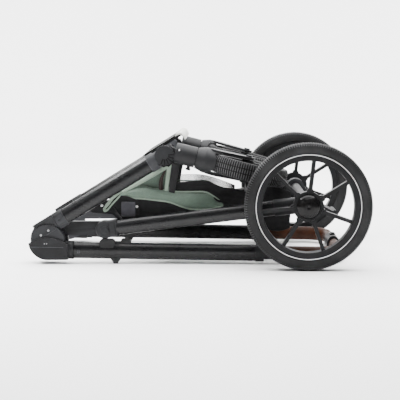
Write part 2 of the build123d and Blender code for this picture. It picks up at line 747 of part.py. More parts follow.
# ---------------------------------------------------------------- telescoping handle
bar_way = bar_side.x_dir
handle_base = Vector(fold_x, 0, fold_z) - bar_side.y_dir * bar_drop
handle_plane = Plane(origin=handle_base, x_dir=bar_way, z_dir=bar_side.y_dir)
with BuildPart() as handle_tube:
    with BuildLine(handle_plane) as handle_path:
        FilletPolyline((handle_start, -frame_half), (handle_end, -frame_half), (handle_end, frame_half),
                       (handle_start, frame_half), radius=handle_corner)
    with BuildSketch(cross_plane(bar_point(handle_start), bar_angle)):
        Ellipse(handle_width / 2, handle_height / 2)
        Ellipse(handle_width / 2 - tube_wall, handle_height / 2 - tube_wall, mode=Mode.SUBTRACT)
    sweep(path=handle_path.wire())
save(handle_tube, "handle_tube")

with BuildPart() as handle_grip:
    with BuildLine(handle_plane) as grip_path:
        FilletPolyline((grip_start, -frame_half), (handle_end, -frame_half), (handle_end, -housing_half),
                       radius=handle_corner)
    with BuildSketch(cross_plane(bar_point(grip_start), bar_angle)):
        Ellipse(handle_width / 2 + grip_thick, handle_height / 2 + grip_thick)
        Ellipse(handle_width / 2 + glue_gap, handle_height / 2 + glue_gap, mode=Mode.SUBTRACT)
    sweep(path=grip_path.wire())
save_both_sides(handle_grip, "handle_grips")

# Housing in the middle of the crossbar; its button frees the telescope.
housing_top = 24
button_long = 34
button_wide = 14
button_proud = 3
button_floor = handle_height / 2 + 0.6
button_travel = 3
bar_middle = handle_plane.from_local_coords((handle_end, 0, 0))
middle_plane = Plane(origin=bar_middle, x_dir=handle_plane.y_dir, z_dir=handle_plane.z_dir)
with BuildPart() as button_housing:
    with BuildSketch(Plane(origin=bar_middle - Vector(0, housing_half, 0), x_dir=bar_way, z_dir=(0, 1, 0))):
        with Locations((0, -2)):
            Ellipse(17, housing_top - 2)
        Ellipse(handle_width / 2, handle_height / 2, mode=Mode.SUBTRACT)
    extrude(amount=2 * housing_half)
    with BuildSketch(middle_plane.offset(button_floor)):
        RectangleRounded(button_long + 2 * sliding_gap, button_wide + 2 * sliding_gap, radius=6)
    extrude(amount=20, mode=Mode.SUBTRACT)
save(button_housing, "button_housing")

with BuildPart() as handle_button:
    with BuildSketch(middle_plane.offset(button_floor + button_travel + 0.4)):
        RectangleRounded(button_long, button_wide, radius=6)
    extrude(amount=housing_top + button_proud - button_floor - button_travel - 0.4)
    fillet(handle_button.edges().group_by(Axis.Z)[-1], radius=1.5)
save(handle_button, "handle_button")

# ---------------------------------------------------------------- folded shopping basket
basket_half = 165
basket_wall = 4
basket_left = -228
basket_right = 124
basket_low = 118
basket_rim = 180
gusset_top = 226
with BuildPart() as basket:
    with BuildSketch(pivot_plane(0, 0, basket_half)):
        Polygon((basket_left, basket_low + 9), (basket_left + 34, basket_rim - 17), (-140, basket_rim),
                (basket_right, basket_rim - 2), (basket_right, basket_low + 22), (66, basket_low + 6),
                (-120, basket_low), align=None)
    extrude(amount=-2 * basket_half)
    with BuildSketch(pivot_plane(0, 0, basket_half)):
        Polygon((basket_left + 38, basket_rim - 18), (-100, gusset_top), (-66, gusset_top),
                (-56, basket_rim - 5), align=None)
    extrude(amount=-2 * basket_half)
    with BuildSketch(pivot_plane(0, 0, basket_half - basket_wall)):
        Polygon((basket_left + 16, basket_low + 13), (basket_left + 42, basket_rim - 18),
                (basket_left + 42, gusset_top + 10), (basket_right - basket_wall, gusset_top + 10),
                (basket_right - basket_wall, basket_low + 25), (65, basket_low + 11),
                (-120, basket_low + 5), align=None)
    extrude(amount=-2 * (basket_half - basket_wall), mode=Mode.SUBTRACT)
save(basket, "basket")

# ---------------------------------------------------------------- flush screws of the leg hinges
with BuildPart() as frame_screw:
    with BuildSketch(side_plane(fold_x, fold_z, 0, clevis_cap - screw_deep)):
        with Locations(*screw_spots):
            Circle(screw_r)
    extrude(amount=screw_deep)
save_both_sides(frame_screw, "frame_screws")
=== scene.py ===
import json
from math import atan2, cos, pi, radians, sin

import bmesh
import bpy
from bpy.props import FloatProperty, FloatVectorProperty, IntProperty, PointerProperty
from mathutils import Matrix, Vector, noise


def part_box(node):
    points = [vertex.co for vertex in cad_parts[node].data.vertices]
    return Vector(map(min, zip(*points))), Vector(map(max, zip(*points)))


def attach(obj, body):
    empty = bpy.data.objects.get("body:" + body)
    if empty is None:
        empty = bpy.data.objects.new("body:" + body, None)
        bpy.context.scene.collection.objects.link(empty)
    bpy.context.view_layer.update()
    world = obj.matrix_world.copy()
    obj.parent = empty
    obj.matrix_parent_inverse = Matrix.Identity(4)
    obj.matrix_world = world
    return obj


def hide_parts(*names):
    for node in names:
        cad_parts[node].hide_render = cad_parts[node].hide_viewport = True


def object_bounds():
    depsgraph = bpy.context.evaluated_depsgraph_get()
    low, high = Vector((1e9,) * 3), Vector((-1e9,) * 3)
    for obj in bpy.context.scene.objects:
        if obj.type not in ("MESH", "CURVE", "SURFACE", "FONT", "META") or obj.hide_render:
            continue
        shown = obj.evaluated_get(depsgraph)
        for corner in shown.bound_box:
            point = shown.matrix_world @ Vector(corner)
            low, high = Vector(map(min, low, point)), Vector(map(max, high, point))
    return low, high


bl_info = {
    "name": "Folded stroller chassis",
    "version": (1, 0, 0),
    "blender": (4, 5, 0),
    "location": "3D View > Sidebar > Chassis",
    "description": "Finishes, tyres, grips, basket and studio for a folded stroller chassis",
    "category": "Object",
}

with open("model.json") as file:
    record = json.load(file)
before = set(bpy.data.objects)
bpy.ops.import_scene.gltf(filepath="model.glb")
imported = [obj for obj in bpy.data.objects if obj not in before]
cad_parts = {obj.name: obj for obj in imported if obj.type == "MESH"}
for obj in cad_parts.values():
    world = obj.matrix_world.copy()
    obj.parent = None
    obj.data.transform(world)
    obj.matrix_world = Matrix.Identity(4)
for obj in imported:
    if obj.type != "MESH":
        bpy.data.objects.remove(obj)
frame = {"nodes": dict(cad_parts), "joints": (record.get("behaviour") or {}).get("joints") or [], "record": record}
cad_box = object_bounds()
joints = {joint["name"]: joint for joint in frame["joints"]}
SIDES = (("right", -1), ("left", 1))
CLOTH_WALL = 1.2
BINDING_WALL = 2.6
ELBOW_COVER_RADIUS = 0.0236
ELBOW_COVER_FACE = 0.0197
COLLAR_RADIUS = 0.0205
COLLAR_HALF = 0.006
COLLAR_FROM_PIVOT = 0.0515
FLOOR_LEVEL = -0.0004
FLOOR_HALF = 40
BACKDROP_FROM = 3


# Settings
def length(name, description, default):
    return FloatProperty(name=name, description=description, default=default, unit="LENGTH", precision=5)


def tint(name, description, default):
    return FloatVectorProperty(name=name, description=description, default=default, subtype="COLOR", size=3)


class FinishSettings(bpy.types.PropertyGroup):
    coat: tint("Powder coat", "Tubes of the frame", (0.0042, 0.0043, 0.0047))
    casting: tint("Castings", "Hinges and brackets", (0.0075, 0.0077, 0.0084))
    plastic: tint("Moulded plastic", "Forks, housings and covers", (0.0105, 0.0108, 0.0116))
    rubber: tint("Rubber", "Tyres, boots and feet", (0.0155, 0.0156, 0.016))
    leather: tint("Leatherette", "Handle grips", (0.034, 0.0105, 0.0035))
    sage: tint("Sage cloth", "Basket panels", (0.135, 0.19, 0.148))
    binding: tint("Binding", "Edge tape of the basket", (0.225, 0.29, 0.228))
    black_cloth: tint("Black cloth", "Lower folds of the basket", (0.005, 0.005, 0.006))


class WheelSettings(bpy.types.PropertyGroup):
    rear_ribs: IntProperty(name="Rear ribs", description="Tread ribs round a rear tyre", default=162)
    front_ribs: IntProperty(name="Front ribs", description="Tread ribs round a front tyre", default=110)
    rib_height: length("Rib height", "How far a tread rib stands out", 0.0012)
    ring_radius: length("Ring radius", "Reflective ring beside a rear tyre", 0.1224)
    ring_width: length("Ring width", "Width of the reflective ring", 0.0012)


class GripSettings(bpy.types.PropertyGroup):
    corner: length("Corner", "Radius of the handle's corners, at the tube's middle", 0.06)
    stitch: length("Stitch", "Pitch of the saddle stitches", 0.005)


class BootSettings(bpy.types.PropertyGroup):
    ribs: IntProperty(name="Ribs", description="Ribs of a caster boot", default=7)
    folds: IntProperty(name="Folds", description="Slots on an elbow cover", default=6)


class PadSettings(bpy.types.PropertyGroup):
    tilt: FloatProperty(name="Tilt", description="Slope of the footboard, in degrees", default=31.6)
    ridges: IntProperty(name="Ridges", description="Grip ridges of the pad", default=14)


class StudioSettings(bpy.types.PropertyGroup):
    floor: tint("Floor", "Studio floor and backdrop", (0.93, 0.93, 0.93))
    focal: FloatProperty(name="Lens", description="Camera lens", default=102, unit="CAMERA")
    distance: length("Distance", "From the object's middle to the camera", 2.92)
    height: length("Height", "Height of the camera", 0.44)


# Mesh helpers
def settings(group):
    return getattr(bpy.context.scene, "chassis_" + group)


def made(name, bm, material, crease=32, recalc=True):
    """A finished bmesh as a shaded object of the scene."""
    if recalc:
        bmesh.ops.recalc_face_normals(bm, faces=bm.faces)
    data = bpy.data.meshes.new(name)
    bm.to_mesh(data)
    bm.free()
    data.materials.append(material)
    data.shade_smooth()
    if crease:
        data.set_sharp_from_angle(angle=radians(crease))
    piece = bpy.data.objects.new(name, data)
    bpy.context.scene.collection.objects.link(piece)
    return piece


def modifier(piece, kind, **values):
    added = piece.modifiers.new(kind.title(), kind)
    for key, value in values.items():
        setattr(added, key, value)


def fit(piece, body):
    """Gives a piece the body that it rides on."""
    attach(piece, body)


def rounded(bm, edges, offset, segments=2):
    bmesh.ops.bevel(bm, geom=edges, offset=offset, offset_type="OFFSET", affect="EDGES", segments=segments,
                    profile=0.5, material=-1)


def extruded(bm, outline, length):
    """Fills an outline and draws it out along y."""
    face = bm.faces.new([bm.verts.new(point) for point in outline])
    swept = bmesh.ops.extrude_face_region(bm, geom=[face])["geom"]
    ends = [v for v in swept if isinstance(v, bmesh.types.BMVert)]
    bmesh.ops.translate(bm, verts=ends, vec=(0, length, 0))


def facing(place, out):
    """Stands at a place given in millimetres, with z pointing out of that side."""
    x, y, z = place
    turn = Matrix.Rotation(-out * pi / 2, 4, "X")
    return Matrix.Translation((x / 1000, out * y / 1000, z / 1000)) @ turn


def axle_frame(joint):
    """Stands on a wheel's centre, with z along its axle."""
    z = Vector(joint["axis"]).normalized()
    x = Vector((0, 0, 1)) if abs(z.z) < 0.5 else Vector((1, 0, 0))
    y = z.cross(x).normalized()
    x = y.cross(z)
    turn = Matrix((x, y, z)).transposed().to_4x4()
    return Matrix.Translation(joint["pos_m"]) @ turn


def spun(bm, profile, steps, closed=False):
    """Turns a profile of (radius, height) round z."""
    verts = [bm.verts.new((r, 0, h)) for r, h in profile]
    edges = [bm.edges.new(pair) for pair in zip(verts, verts[1:])]
    if closed:
        edges.append(bm.edges.new((verts[-1], verts[0])))
    bmesh.ops.spin(bm, geom=verts + edges, cent=(0, 0, 0), axis=(0, 0, 1), dvec=(0, 0, 0), angle=2 * pi,
                   steps=steps, use_merge=True, use_duplicate=False)
    bmesh.ops.remove_doubles(bm, verts=bm.verts, dist=1e-6)


# Finishes
class Finish:
    """A Principled material whose patterns are nodes."""

    def __init__(self, name, uv=False, **sockets):
        self.material = bpy.data.materials.new(name)
        self.material.use_nodes = True
        self.tree = self.material.node_tree
        self.shader = self.tree.nodes["Principled BSDF"]
        for socket, value in sockets.items():
            self.shader.inputs[socket.replace("_", " ")].default_value = value
        where = self.tree.nodes.new("ShaderNodeTexCoord")
        self.where = where.outputs["UV" if uv else "Object"]

    def node(self, kind, links=(), **values):
        added = self.tree.nodes.new("ShaderNode" + kind)
        for key, value in values.items():
            setattr(added, key, value)
        for socket, source in links:
            if isinstance(source, bpy.types.NodeSocket):
                self.tree.links.new(source, added.inputs[socket])
            else:
                added.inputs[socket].default_value = source
        return added

    def noise(self, scale, detail=3, stretch=None):
        where = self.where
        if stretch:
            where = self.node("Mapping", [("Vector", where), ("Scale", stretch)]).outputs[0]
        return self.node("TexNoise", [("Vector", where), ("Scale", scale), ("Detail", detail)]).outputs[0]

    def cells(self, scale, feature="F1"):
        return self.node("TexVoronoi", [("Vector", self.where), ("Scale", scale)], feature=feature).outputs[0]

    def bands(self, per_metre, direction):
        return self.node("TexWave", [("Vector", self.where), ("Scale", per_metre * pi / 10)],
                         bands_direction=direction).outputs["Fac"]

    def ramp(self, source, low, high, start=0.0, end=1.0):
        added = self.node("MapRange", [("Value", source), ("From Min", start), ("From Max", end),
                                       ("To Min", low), ("To Max", high)])
        return added.outputs[0]

    def blend(self, factor, one, other):
        added = self.node("Mix", [(0, factor)], data_type="RGBA")
        for index, colour in ((6, one), (7, other)):
            if isinstance(colour, bpy.types.NodeSocket):
                self.tree.links.new(colour, added.inputs[index])
            else:
                added.inputs[index].default_value = (*colour, 1)
        return added.outputs[2]

    def cloud(self, colour, dark, light, scale, detail, start, end):
        """A colour that drifts between a darker and a lighter shade."""
        drift = self.ramp(self.noise(scale, detail), 0, 1, start, end)
        return self.blend(drift, shade(colour, dark), shade(colour, light))

    def colour(self, source):
        self.tree.links.new(source, self.shader.inputs["Base Color"])

    def rough(self, source):
        self.tree.links.new(source, self.shader.inputs["Roughness"])

    def bump(self, *heights):
        """Each height is (source, depth in metres)."""
        normal = None
        for source, depth in heights:
            links = [("Height", source), ("Distance", depth), ("Strength", 1)]
            if normal:
                links.append(("Normal", normal))
            normal = self.node("Bump", links).outputs[0]
        self.tree.links.new(normal, self.shader.inputs["Normal"])
        return self.material


def shade(colour, factor):
    return tuple(min(1, c * factor) for c in colour)


def powder_coat(colour):
    look = Finish("satin_powder_coat", Specular_IOR_Level=0.2, Coat_Weight=0.06, Coat_Roughness=0.2)
    cloud = look.noise(18, 4)
    look.colour(look.blend(look.ramp(cloud, 0, 1, 0.35, 0.65), shade(colour, 0.85), shade(colour, 1.3)))
    scuff = look.noise(120, 5, (0.25, 1, 1))
    look.rough(look.ramp(scuff, 0.24, 0.36, 0.3, 0.75))
    return look.bump((look.noise(1500, 2), 0.00004), (look.noise(300, 2), 0.00005))


def cast_coat(colour):
    look = Finish("textured_casting", Specular_IOR_Level=0.16)
    cloud = look.noise(30, 4)
    worn = look.ramp(look.node("NewGeometry").outputs["Pointiness"], 0, 1, 0.52, 0.6)
    tone = look.blend(look.ramp(cloud, 0, 1, 0.3, 0.7), shade(colour, 0.8), shade(colour, 1.35))
    look.colour(look.blend(worn, tone, shade(colour, 2.6)))
    look.rough(look.ramp(look.noise(200, 4), 0.4, 0.58, 0.3, 0.7))
    return look.bump((look.cells(750), 0.00009), (look.noise(240, 3), 0.00012))


def moulded_plastic(colour):
    look = Finish("moulded_plastic", Specular_IOR_Level=0.15)
    tone = look.cloud(colour, 0.85, 1.25, 22, 4, 0.3, 0.7)
    look.colour(tone)
    look.rough(look.ramp(look.noise(260, 4), 0.42, 0.56, 0.3, 0.7))
    return look.bump((look.cells(1100), 0.00005), (look.noise(90, 2), 0.0001))


def gloss_plastic():
    look = Finish("gloss_cap", Coat_Weight=0.05, Coat_Roughness=0.05, Specular_IOR_Level=0.1)
    tone = look.blend(look.ramp(look.noise(60, 3), 0, 1, 0.35, 0.7), (0.003, 0.003, 0.0033),
                      (0.007, 0.0065, 0.0065))
    look.colour(tone)
    look.rough(look.ramp(look.noise(300, 3), 0.12, 0.18, 0.3, 0.8))
    return look.bump((look.noise(60, 2), 0.00002))


def tyre_rubber(colour):
    look = Finish("foam_rubber", Specular_IOR_Level=0.1)
    dust = look.ramp(look.noise(14, 6), 0, 1, 0.38, 0.7)
    look.colour(look.blend(dust, shade(colour, 0.85), shade(colour, 1.5)))
    look.rough(look.ramp(look.noise(180, 5), 0.58, 0.8, 0.3, 0.7))
    return look.bump((look.noise(900, 3), 0.00007), (look.noise(60, 3), 0.0001))


def zinc_steel(tone=1.0):
    look = Finish("zinc_steel", Metallic=1.0)
    look.colour(look.blend(look.ramp(look.noise(90, 5), 0, 1, 0.3, 0.75), shade((0.5, 0.51, 0.53), tone),
                           shade((0.68, 0.67, 0.65), tone)))
    look.rough(look.ramp(look.noise(400, 4), 0.22, 0.42, 0.3, 0.7))
    return look.bump((look.noise(1100, 2, (1, 0.1, 1)), 0.00002))


def leatherette(colour):
    look = Finish("brown_leatherette", Specular_IOR_Level=0.15)
    grain = look.cells(420, "DISTANCE_TO_EDGE")
    crack = look.ramp(grain, 0, 1, 0.0, 0.12)
    cloud = look.ramp(look.noise(25, 5), 0, 1, 0.3, 0.72)
    skin = look.blend(cloud, shade(colour, 0.75), shade(colour, 1.5))
    look.colour(look.blend(crack, shade(colour, 0.4), skin))
    look.rough(look.ramp(crack, 0.62, 0.4))
    return look.bump((crack, 0.00016), (look.noise(180, 3), 0.0002))


def woven(name, colour, threads=1100, sheen=0.25, contrast=0.55, rough=0.82, puff=0.00016):
    """Plain weave on a UV map in metres."""
    look = Finish(name, uv=True, Sheen_Weight=sheen, Sheen_Roughness=0.45, Specular_IOR_Level=0.25)
    warp = look.bands(threads, "X")
    weft = look.bands(threads, "Y")
    checks = look.node("TexChecker", [("Vector", look.where), ("Scale", threads)]).outputs[1]
    thread = look.node("Mix", [(0, checks), (2, warp), (3, weft)]).outputs[0]
    slub = look.ramp(look.noise(75, 6), 0, 1, 0.25, 0.75)
    cloth = look.blend(slub, shade(colour, 0.84), shade(colour, 1.12))
    look.colour(look.blend(look.ramp(thread, 0, 1), shade(colour, contrast), cloth))
    look.rough(look.ramp(slub, rough - 0.08, rough + 0.08))
    return look.bump((thread, puff), (look.noise(220, 3), 0.00022))


def looks():
    """The chassis's finishes, made once."""
    if not looks.made:
        tones = settings("finish")
        looks.made.update(
            coat=powder_coat(tones.coat), casting=cast_coat(tones.casting),
            plastic=moulded_plastic(tones.plastic),
            gloss=gloss_plastic(), rubber=tyre_rubber(tones.rubber), steel=zinc_steel(),
            screw=zinc_steel(0.4),
            leather=leatherette(tones.leather), sage=woven("sage_weave", tones.sage, 1400),
            binding=woven("binding_tape", tones.binding, 900, contrast=0.7),
            black_cloth=woven("black_weave", tones.black_cloth, 1400, sheen=0.12),
            rim=moulded_plastic(shade(tones.plastic, 0.62)), ring=reflective_ring(),
            # The darker rubber copy is painted shade in tyre grooves, boot folds, the swivel gap and the cap
            # slots, and also darkens the tube seams; the lighter copy is a painted highlight on the tyre rib tops.
            groove=tyre_rubber(shade(tones.rubber, 0.25)), tread=tyre_rubber(shade(tones.rubber, 2.8)),
            # On the cover beads and leg lines this lighter casting copy is a painted highlight.
            elbow=cast_coat(shade(tones.casting, 3.2)),
            pad=pale_pad("pale_nose", (0.5, 0.5, 0.46)),
            pad_dark=pale_pad("ridged_pad", (0.012, 0.0122, 0.0125), 0.06), thread=thread_look(),
            # A darker copy of the sage cloth: painted shade on the inner gussets and the basket floor.
            sage_deep=woven("sage_weave_shaded", shade(tones.sage, 0.62), 1400),
            webbing=webbing("black_webbing", (0.006, 0.006, 0.007)),
            webbing_grey=webbing("grey_webbing", (0.035, 0.034, 0.042)),
            net=woven("net_strand", (0.012, 0.012, 0.012), 900, sheen=0.1),
            zip=woven("zip_tape", (0.018, 0.01, 0.008), 1100, sheen=0.15),
            zip_teeth=webbing("zip_teeth", (0.022, 0.014, 0.011), 480))
        for name in ("rim", "groove", "elbow", "tread", "screw"):
            looks.made[name].name = "chassis_" + name
    return looks.made


looks.made = {}


def reflective_ring():
    look = Finish("reflective_ring", Specular_IOR_Level=0.7, Coat_Weight=0.3)
    look.colour(look.blend(look.ramp(look.noise(240, 4), 0, 1, 0.3, 0.7), (0.5, 0.5, 0.51),
                           (0.66, 0.66, 0.66)))
    look.rough(look.ramp(look.noise(600, 2), 0.2, 0.4))
    return look.bump((look.cells(1800), 0.00003))


def pale_pad(name, colour, gloss=0.3):
    look = Finish(name, Specular_IOR_Level=gloss)
    look.colour(look.cloud(colour, 0.85, 1.25, 35, 5, 0.3, 0.7))
    look.rough(look.ramp(look.noise(220, 4), 0.5, 0.72))
    return look.bump((look.cells(420), 0.00012))


def thread_look():
    look = Finish("waxed_thread", Specular_IOR_Level=0.3)
    look.colour(look.blend(look.ramp(look.noise(500, 3), 0, 1, 0.3, 0.7), (0.1, 0.05, 0.028),
                           (0.18, 0.1, 0.06)))
    look.rough(look.ramp(look.noise(900, 2), 0.5, 0.7))
    return look.bump((look.bands(2500, "DIAGONAL"), 0.0001))


def webbing(name, colour, ribs=330):
    """Ribbed tape: ribs along its length and a fine twill across."""
    look = Finish(name, uv=True, Sheen_Weight=0.1, Specular_IOR_Level=0.25)
    rib = look.bands(ribs, "Y")
    twill = look.bands(900, "DIAGONAL")
    tone = look.cloud(colour, 0.85, 1.25, 60, 5, 0.3, 0.7)
    look.colour(look.blend(look.ramp(rib, 0, 1), shade(colour, 0.55), tone))
    look.rough(look.ramp(look.noise(200, 3), 0.55, 0.75))
    return look.bump((rib, 0.0004), (twill, 0.00014))


class CHASSIS_OT_finishes(bpy.types.Operator):
    """Gives the frame's metal, plastic and steel parts their finishes"""
    bl_idname = "chassis.finishes"
    bl_label = "Frame finishes"

    def execute(self, context):
        of_slot = {"frame_black": "coat", "cast_black": "casting", "plastic_dark": "plastic",
                   "rim_black": "rim",
                   "cap_gloss": "gloss", "tyre_black": "rubber", "soft_rubber": "rubber", "pad_pale": "pad",
                   "steel": "steel", "grip_leather": "leather", "basket_fabric": "sage"}
        dark = {"suspension_pins": "casting", "frame_screws": "screw", "swivel_stem_right": "casting",
                "swivel_stem_left": "casting", "front_elbow_right": "elbow", "front_elbow_left": "elbow",
                "front_bearings_right": "casting", "front_bearings_left": "casting",
                "front_axle_right": "casting",
                "front_axle_left": "casting", "rear_pivot_pins": "plastic", "brake_bar": "coat",
                "axle_stubs": "coat", "fold_pins": "casting", "rear_axle_tube": "rim",
                "rear_bearings_right": "casting",
                "rear_bearings_left": "casting", "footboard_pad": "plastic"}
        for row in frame["record"]["subparts"]:
            node = frame["nodes"][row["node"]]
            for place in node.material_slots:
                place.material = looks()[dark.get(row["node"], of_slot[row["material_slot"]])]
        return {"FINISHED"}


# Wheels
def mirrored(half):
    """A whole tyre profile from its outer half, bead to crown."""
    return half + [(r, -h) for r, h in reversed(half)]


def tyre(name, joint, half, ribs, low, high, height):
    """A tyre whose faces between the radii low and high carry ribs; the rib tops get a lighter copy of the rubber
    as painted highlight and the gaps between them a darker copy as painted shade.
    """
    bm = bmesh.new()
    spun(bm, mirrored(half), ribs * 2, closed=True)
    bmesh.ops.recalc_face_normals(bm, faces=bm.faces)
    blocks = []
    for face in bm.faces:
        middle = face.calc_center_median()
        step = int((atan2(middle.y, middle.x) / pi + 1) * ribs)
        if step % 2 and low < middle.xy.length < high:
            blocks.append(face)
    # Tread band faces get the darker rubber as painted shade in the gaps; the rib tops then get the lighter rubber
    # as painted highlight.
    for face in bm.faces:
        face.material_index = int(low < face.calc_center_median().xy.length < high)
    bmesh.ops.inset_individual(bm, faces=blocks, thickness=height * 0.2, depth=height)
    for face in blocks:
        face.material_index = 2
    bm.transform(axle_frame(joint))
    piece = made(name, bm, looks()["rubber"])
    piece.data.materials.append(looks()["groove"])
    piece.data.materials.append(looks()["tread"])
    return piece


class CHASSIS_OT_rear_tyres(bpy.types.Operator):
    """Makes the ribbed rear tyres with their reflective rings"""
    bl_idname = "chassis.rear_tyres"
    bl_label = "Rear tyres"

    def execute(self, context):
        sizes = settings("wheels")
        half = [(0.1242, 0.0165), (0.1255, 0.0192), (0.1285, 0.0213), (0.133, 0.0228), (0.137, 0.0234),
                (0.1376, 0.0229), (0.1386, 0.0229), (0.1392, 0.0234), (0.1425, 0.0229), (0.1455, 0.0213),
                (0.1475, 0.0188), (0.1484, 0.015), (0.1488, 0.0092), (0.1488, 0.0086), (0.1479, 0.008),
                (0.1479, 0.0066), (0.1488, 0.006), (0.1489, 0.0012)]
        for side, out in SIDES:
            joint = joints["rear_spin_" + side]
            piece = tyre("ribbed_tyre_rear_" + side, joint, half, sizes.rear_ribs, 0.1425, 0.1496,
                         sizes.rib_height)
            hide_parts("rear_tyre_" + side)
            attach(piece, "rear_wheel_" + side)
            bm = bmesh.new()
            inner = sizes.ring_radius - sizes.ring_width / 2
            outer = sizes.ring_radius + sizes.ring_width / 2
            spun(bm, [(inner - 0.0003, 0.0208), (inner, 0.0214), (inner + 0.0004, 0.0217),
                      (outer - 0.0004, 0.0217),
                      (outer, 0.0214), (outer + 0.0003, 0.0208)], 160, closed=True)
            bmesh.ops.scale(bm, verts=bm.verts, vec=(1, 1, out))
            bm.transform(axle_frame(joint))
            ring = made("reflective_ring_" + side, bm, looks()["ring"])
            fit(ring, "rear_wheel_" + side)
        return {"FINISHED"}


class CHASSIS_OT_front_tyres(bpy.types.Operator):
    """Makes the ribbed front tyres"""
    bl_idname = "chassis.front_tyres"
    bl_label = "Front tyres"

    def execute(self, context):
        sizes = settings("wheels")
        half = [(0.0842, 0.015), (0.0852, 0.0178), (0.088, 0.0196), (0.0915, 0.021), (0.0935, 0.0213),
                (0.094, 0.0209), (0.0948, 0.021), (0.0972, 0.0203), (0.0993, 0.0182), (0.1008, 0.0152),
                (0.1017, 0.0112), (0.1018, 0.0072), (0.1011, 0.0066), (0.1011, 0.0054), (0.1019, 0.0048),
                (0.102, 0.0008)]
        for side, out in SIDES:
            piece = tyre("ribbed_tyre_front_" + side, joints["front_spin_" + side], half, sizes.front_ribs,
                         0.0965, 0.1021, sizes.rib_height)
            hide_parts("front_tyre_" + side)
            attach(piece, "front_wheel_" + side)
        return {"FINISHED"}


# Basket
def along(points, t):
    """A point of the smooth line through the points, t from 0 to 1."""
    span = min(t, 0.99999) * (len(points) - 1)
    i = int(span)
    f = span - i
    p = [Vector(points[max(0, min(len(points) - 1, k))]) for k in (i - 1, i, i + 1, i + 2)]
    return 0.5 * (2 * p[1] + (p[2] - p[0]) * f + (2 * p[0] - 5 * p[1] + 4 * p[2] - p[3]) * f * f
                  + (3 * p[1] - p[0] - 3 * p[2] + p[3]) * f ** 3)


def patch(one, other, columns, rows, bulge=(0, 0, 0), wrinkle=0, grain=(14, 14, 14), seed=0):
    """A grid stretched between two smooth lines, with its UV map in metres; lines are in millimetres."""
    bm = bmesh.new()
    uv = bm.loops.layers.uv.new("UVMap")
    bmesh.ops.create_grid(bm, x_segments=columns, y_segments=rows, size=0.5)
    wide = sum((along(one, (k + 1) / 24) - along(one, k / 24)).length for k in range(24)) / 1000
    deep = (along(one, 0.5) - along(other, 0.5)).length / 1000
    for face in bm.faces:
        for loop in face.loops:
            loop[uv].uv = ((loop.vert.co.x + 0.5) * wide, (loop.vert.co.y + 0.5) * deep)
    for vert in bm.verts:
        u, v = vert.co.x + 0.5, vert.co.y + 0.5
        swell = sin(pi * v) * (0.35 + 0.65 * sin(pi * min(1, max(0, u))))
        vert.co = (along(one, u).lerp(along(other, u), v) + Vector(bulge) * swell) / 1000
    bm.normal_update()
    if wrinkle:
        moves = []
        for vert in bm.verts:
            spot = Vector(a * b for a, b in zip(vert.co, grain)) + Vector((seed, 0, seed))
            fold = noise.noise(spot) + 0.5 * noise.noise(spot * 2.3) + 0.25 * noise.noise(spot * 5.1)
            moves.append(vert.normal * fold * wrinkle / 1000)
        for vert, move in zip(bm.verts, moves):
            vert.co += move
    return bm


def cloth(name, bm, look, thick=CLOTH_WALL, held="hung", body="front_frame", slot="basket_fabric", rests=()):
    """A sheet of the basket: its wall is added and it rides on the frame."""
    area = sum(face.calc_area() for face in bm.faces)
    piece = made(name, bm, look, crease=0, recalc=False)
    modifier(piece, "SOLIDIFY", thickness=thick / 1000, offset=0, use_even_offset=True)
    modifier(piece, "SUBSURF", levels=1, render_levels=1)
    fit(piece, body)
    return piece


def flip(points, out):
    """Gives side lines their depth: (x, z) or (x, z, depth) with depth towards that side."""
    return [(x, out * y, z) for x, z, y in points]


